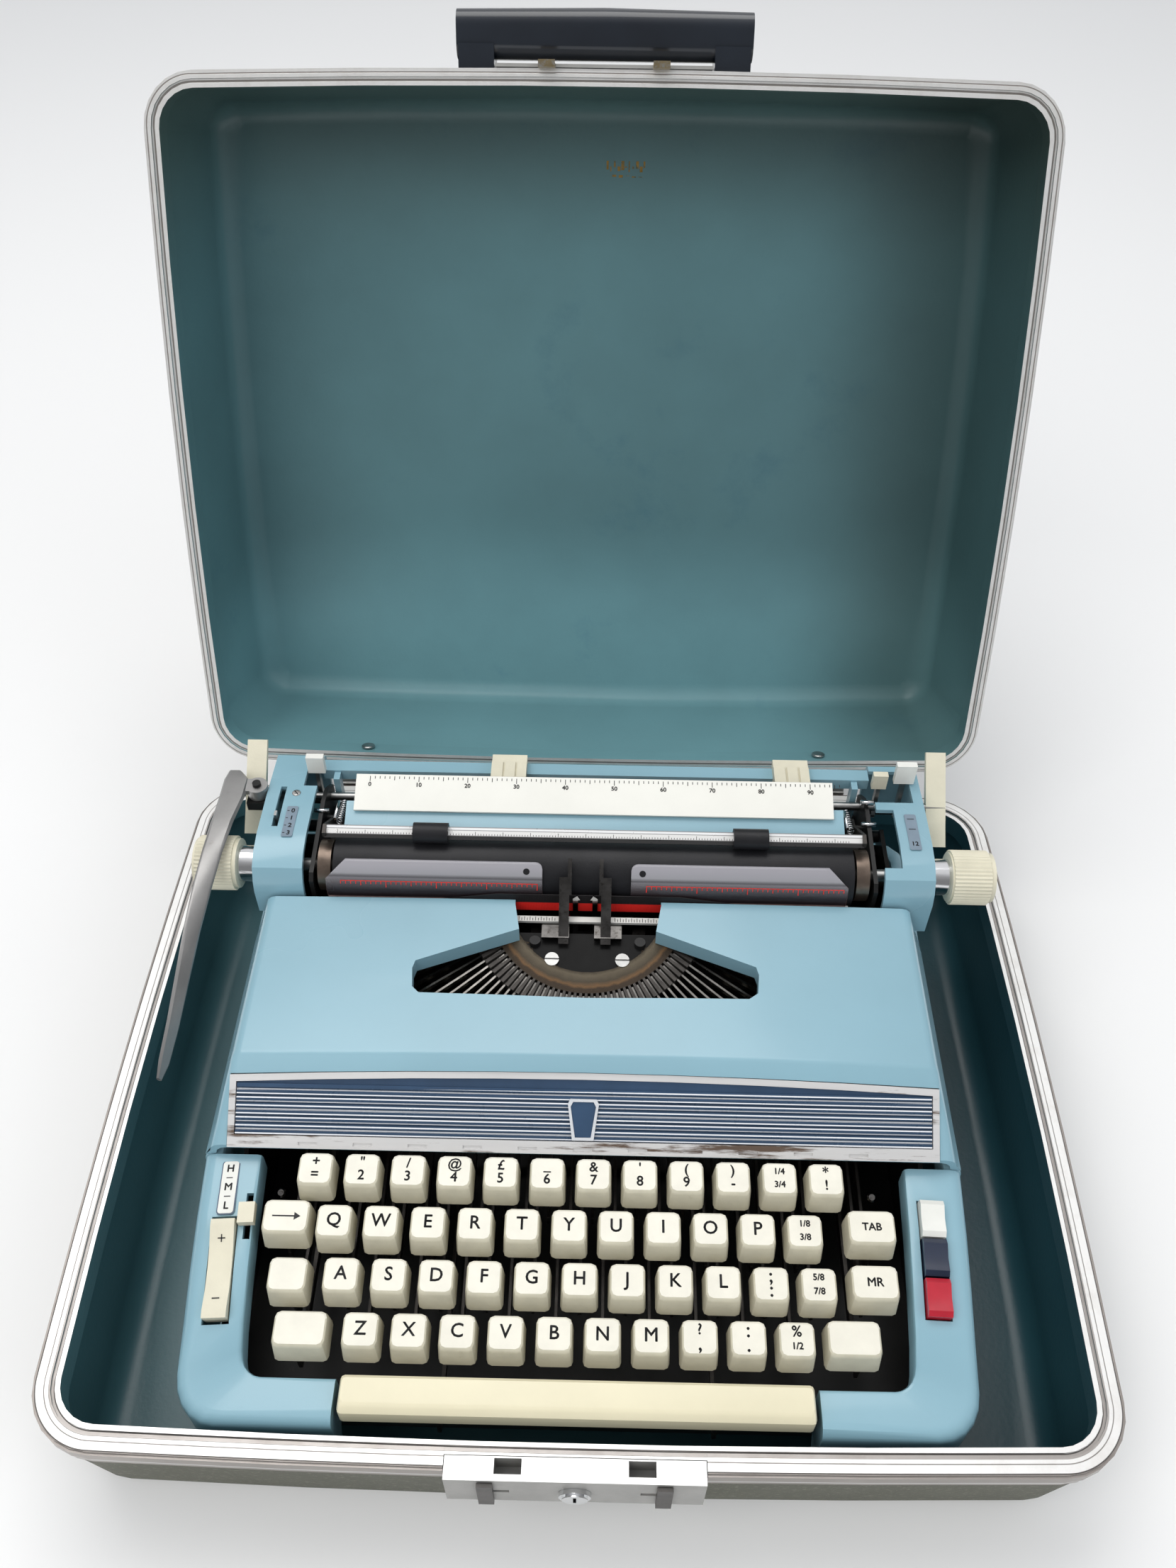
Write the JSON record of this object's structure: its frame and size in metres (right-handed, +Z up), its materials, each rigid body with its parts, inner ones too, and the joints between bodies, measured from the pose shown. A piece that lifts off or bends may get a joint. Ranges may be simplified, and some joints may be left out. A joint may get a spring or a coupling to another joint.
{
  "type": "portable typewriter",
  "caption": "Portable manual typewriter in the base of its rigid carrying case, with sliding carriage, platen, bail, fanned typebars, key rows, space bar and a hinged lid with handle and lock.",
  "frame": {"origin": "centre of the flat underside of the case base", "axes": "+X to the typist's right, +Y from the typist towards the hinges, +Z up; the machine stands level in the case"},
  "size_m": [0.4306, 0.5665, 0.4116],
  "materials": {
    "case_cloth": "speckled textured covering",
    "rim_metal": "satin extruded",
    "hinge_metal": "satin",
    "handle_plastic": "smooth gloss",
    "hasp_metal": "worn plate",
    "lock_metal": "satin, lightly scratched",
    "latch_metal": "dark",
    "cylinder_metal": "worn",
    "frame_black": "black",
    "body_blue": "semi-gloss enamel",
    "cover_blue": "semi-gloss enamel",
    "panel_chrome": "bright",
    "panel_navy": "anodised navy with bright ribs",
    "segment_steel": "dark, rust-tinged",
    "typebar_steel": "worn steel",
    "guide_steel": "darkened steel",
    "ribbon_fabric": "red and black inked",
    "spool_metal": "satin",
    "key_ivory": "ivory with dark legends, dark steel levers below",
    "space_ivory": "warm ivory",
    "control_cream": "cream",
    "control_white": "white",
    "control_black": "blue-black",
    "control_red": "red",
    "carriage_black": "black",
    "scale_white": "white with printed scale",
    "rubber_black": "matt rubber",
    "bail_chrome": "bright strip with scale",
    "clear_plate": "clear plastic with red scale",
    "lever_chrome": "worn chrome"
  },
  "bodies": {
    "case": {"case_base": "case_cloth", "case_base_rim": "rim_metal", "case_hinge_base": "hinge_metal", "lock_plate": "lock_metal", "chassis": "frame_black", "body_shell": "body_blue", "card_fingers": "guide_steel", "ribbon": "ribbon_fabric"},
    "lid": {"case_lid": "case_cloth", "case_lid_rim": "rim_metal", "case_hinge_lid": "hinge_metal", "case_handle": "handle_plastic", "hasp_plate": "hasp_metal"},
    "latch_left": {"latch_left": "latch_metal"},
    "latch_right": {"latch_right": "latch_metal"},
    "lock_cylinder": {"lock_cylinder": "cylinder_metal"},
    "cover": {"top_cover": "cover_blue", "front_bezel": "panel_chrome", "front_panel": "panel_navy"},
    "basket": {"segment": "segment_steel", "typebars": "typebar_steel"},
    "vibrator": {"ribbon_vibrator": "guide_steel"},
    "spool_left": {"ribbon_spool_left": "spool_metal"},
    "spool_right": {"ribbon_spool_right": "spool_metal"},
    "keys_row_1": {"keys_row_1": "key_ivory"},
    "keys_row_2": {"keys_row_2": "key_ivory"},
    "keys_row_3": {"keys_row_3": "key_ivory"},
    "keys_row_4": {"keys_row_4": "key_ivory"},
    "backspace_key": {"backspace_key": "key_ivory"},
    "tab_key": {"tab_key": "key_ivory"},
    "margin_release_key": {"margin_release_key": "key_ivory"},
    "space_bar": {"space_bar": "space_ivory"},
    "shift": {"left_shift_key": "key_ivory", "right_shift_key": "key_ivory"},
    "shift_lock": {"shift_lock_key": "key_ivory"},
    "touch_slider": {"touch_slider": "control_cream"},
    "tab_rocker": {"tab_rocker": "control_cream"},
    "ribbon_white": {"ribbon_key_white": "control_white"},
    "ribbon_black": {"ribbon_key_black": "control_black"},
    "ribbon_red": {"ribbon_key_red": "control_red"},
    "carriage": {"carriage_frame": "carriage_black", "carriage_cover_left": "body_blue", "carriage_cover_right": "body_blue", "carriage_rear_rail": "body_blue", "scale_plate": "scale_white", "paper_deflector": "body_blue", "card_plates": "clear_plate", "line_scale": "guide_steel"},
    "margin_stop_left": {"margin_stop_left": "control_cream"},
    "margin_stop_right": {"margin_stop_right": "control_cream"},
    "platen": {"platen": "rubber_black", "platen_knobs": "control_cream"},
    "bail": {"paper_bail": "bail_chrome"},
    "rollers": {"bail_rollers": "rubber_black"},
    "return_lever": {"return_lever": "lever_chrome"},
    "line_space_selector": {"line_space_selector": "lever_chrome"},
    "ratchet_lever": {"ratchet_lever": "control_white"},
    "page_gauge_lever": {"page_gauge_lever": "control_white"},
    "paper_release_lever": {"paper_release_lever": "control_cream"},
    "release_levers": {"carriage_release_levers": "control_cream"}
  },
  "joints": [
    {"name": "lid_hinge", "type": "hinge", "parent": "case", "child": "lid", "pos_m": [0, 0.1783, 0.07], "axis": [-1, 0, 0], "range_deg": [-112.4, 0]},
    {"name": "latch_left_slide", "type": "slide", "parent": "case", "child": "latch_left", "axis": [1, 0, 0], "range_m": [0, 0.006], "stiffness_N_per_m": 60, "springref_m": -0.003},
    {"name": "latch_right_slide", "type": "slide", "parent": "case", "child": "latch_right", "axis": [-1, 0, 0], "range_m": [0, 0.006], "stiffness_N_per_m": 60, "springref_m": -0.003},
    {"name": "lock_turn", "type": "hinge", "parent": "case", "child": "lock_cylinder", "pos_m": [0, -0.178, 0.057], "axis": [0, -1, 0], "range_deg": [0, 90]},
    {"name": "cover_lift", "type": "slide", "parent": "case", "child": "cover", "axis": [0, 0, 1], "range_m": [0, 0.04]},
    {"name": "basket_shift", "type": "slide", "parent": "case", "child": "basket", "axis": [0, 0, -1], "range_m": [0, 0.0062], "stiffness_N_per_m": 300, "springref_m": -0.012},
    {"name": "vibrator_lift", "type": "slide", "parent": "case", "child": "vibrator", "axis": [0, 0, 1], "range_m": [0, 0.0055]},
    {"name": "spool_left_spin", "type": "hinge", "parent": "case", "child": "spool_left", "pos_m": [-0.108, 0.031, 0.1145], "axis": [0, 0, 1], "continuous": true},
    {"name": "spool_right_spin", "type": "hinge", "parent": "case", "child": "spool_right", "pos_m": [0.108, 0.031, 0.1145], "axis": [0, 0, 1], "continuous": true},
    {"name": "keys_row_1_press", "type": "hinge", "parent": "case", "child": "keys_row_1", "pos_m": [0, 0.02, 0.076], "axis": [1, 0, 0], "range_deg": [0, 7.6], "stiffness_Nm_per_rad": 0.6, "springref_deg": -11.46},
    {"name": "keys_row_2_press", "type": "hinge", "parent": "case", "child": "keys_row_2", "pos_m": [0, 0.02, 0.076], "axis": [1, 0, 0], "range_deg": [0, 6.1], "stiffness_Nm_per_rad": 0.6, "springref_deg": -11.46},
    {"name": "keys_row_3_press", "type": "hinge", "parent": "case", "child": "keys_row_3", "pos_m": [0, 0.02, 0.076], "axis": [1, 0, 0], "range_deg": [0, 5.3], "stiffness_Nm_per_rad": 0.6, "springref_deg": -11.46},
    {"name": "keys_row_4_press", "type": "hinge", "parent": "case", "child": "keys_row_4", "pos_m": [0, 0.02, 0.076], "axis": [1, 0, 0], "range_deg": [0, 4.6], "stiffness_Nm_per_rad": 0.6, "springref_deg": -11.46},
    {"name": "backspace_press", "type": "hinge", "parent": "case", "child": "backspace_key", "pos_m": [0, 0.02, 0.076], "axis": [1, 0, 0], "range_deg": [0, 6], "stiffness_Nm_per_rad": 0.3, "springref_deg": -11.46},
    {"name": "tab_press", "type": "hinge", "parent": "case", "child": "tab_key", "pos_m": [0, 0.02, 0.076], "axis": [1, 0, 0], "range_deg": [0, 6], "stiffness_Nm_per_rad": 0.3, "springref_deg": -11.46},
    {"name": "margin_release_press", "type": "hinge", "parent": "case", "child": "margin_release_key", "pos_m": [0, 0.02, 0.076], "axis": [1, 0, 0], "range_deg": [0, 5], "stiffness_Nm_per_rad": 0.3, "springref_deg": -11.46},
    {"name": "space_bar_press", "type": "hinge", "parent": "case", "child": "space_bar", "pos_m": [0, -0.025, 0.044], "axis": [1, 0, 0], "range_deg": [0, 3.8], "stiffness_Nm_per_rad": 0.8, "springref_deg": -11.46},
    {"name": "shift_press", "type": "hinge", "parent": "case", "child": "shift", "pos_m": [0, 0.004, 0.044], "axis": [1, 0, 0], "range_deg": [0, 4.6], "stiffness_Nm_per_rad": 1.2, "springref_deg": -17.19},
    {"name": "shift_lock_press", "type": "hinge", "parent": "shift", "child": "shift_lock", "pos_m": [-0.117, -0.06, 0.053], "axis": [1, 0, 0], "range_deg": [0, 4], "stiffness_Nm_per_rad": 0.2, "springref_deg": -11.46},
    {"name": "touch_slide", "type": "slide", "parent": "case", "child": "touch_slider", "axis": [-0.0623, 0.9905, 0.1225], "range_m": [-0.007, 0.007]},
    {"name": "tab_rocker_tilt", "type": "hinge", "parent": "case", "child": "tab_rocker", "pos_m": [-0.14436, -0.10601, 0.08147], "axis": [0.998, 0.0628, 0], "range_deg": [-4, 4], "stiffness_Nm_per_rad": 0.05},
    {"name": "ribbon_white_press", "type": "slide", "parent": "case", "child": "ribbon_white", "axis": [0.0061, 0.1671, -0.9859], "range_m": [0, 0.003], "stiffness_N_per_m": 150, "springref_m": -0.004},
    {"name": "ribbon_black_press", "type": "slide", "parent": "case", "child": "ribbon_black", "axis": [0.0061, 0.1671, -0.9859], "range_m": [0, 0.003], "stiffness_N_per_m": 150, "springref_m": -0.004},
    {"name": "ribbon_red_press", "type": "slide", "parent": "case", "child": "ribbon_red", "axis": [0.0061, 0.1671, -0.9859], "range_m": [0, 0.003], "stiffness_N_per_m": 150, "springref_m": -0.004},
    {"name": "carriage_slide", "type": "slide", "parent": "case", "child": "carriage", "axis": [-1, 0, 0], "range_m": [-0.006, 0.115]},
    {"name": "margin_left_slide", "type": "slide", "parent": "carriage", "child": "margin_stop_left", "axis": [1, 0, 0], "range_m": [-0.0735, 0.03]},
    {"name": "margin_right_slide", "type": "slide", "parent": "carriage", "child": "margin_stop_right", "axis": [1, 0, 0], "range_m": [-0.04, 0.0205]},
    {"name": "platen_turn", "type": "hinge", "parent": "carriage", "child": "platen", "pos_m": [0.002, 0.0696, 0.127], "axis": [1, 0, 0], "continuous": true},
    {"name": "bail_raise", "type": "hinge", "parent": "carriage", "child": "bail", "pos_m": [0.002, 0.098, 0.128], "axis": [-1, 0, 0], "range_deg": [0, 35]},
    {"name": "bail_rollers_turn", "type": "hinge", "parent": "bail", "child": "rollers", "pos_m": [0.002, 0.074, 0.1462], "axis": [1, 0, 0], "continuous": true},
    {"name": "return_lever_turn", "type": "hinge", "parent": "carriage", "child": "return_lever", "pos_m": [-0.1595, 0.104, 0.142], "axis": [0, 0, 1], "range_deg": [0, 9], "stiffness_Nm_per_rad": 0.5, "springref_deg": -5.73},
    {"name": "line_space_slide", "type": "slide", "parent": "carriage", "child": "line_space_selector", "axis": [0, 1, 0], "range_m": [0, 0.011]},
    {"name": "ratchet_lever_turn", "type": "hinge", "parent": "carriage", "child": "ratchet_lever", "pos_m": [-0.133, 0.117, 0.119], "axis": [-1, 0, 0], "range_deg": [0, 12]},
    {"name": "page_gauge_lever_turn", "type": "hinge", "parent": "carriage", "child": "page_gauge_lever", "pos_m": [0.1508, 0.117, 0.119], "axis": [-1, 0, 0], "range_deg": [0, 12]},
    {"name": "paper_release_lever_turn", "type": "hinge", "parent": "carriage", "child": "paper_release_lever", "pos_m": [0.1394, 0.117, 0.119], "axis": [-1, 0, 0], "range_deg": [0, 12]},
    {"name": "carriage_release_turn", "type": "hinge", "parent": "carriage", "child": "release_levers", "pos_m": [0.002, 0.112, 0.128], "axis": [-1, 0, 0], "range_deg": [0, 6]}
  ],
  "couplings": [
    {"joint": "basket_shift", "follows": "shift_press", "m_per_rad": 0.0747},
    {"joint": "spool_right_spin", "follows": "spool_left_spin", "ratio": 1}
  ]
}
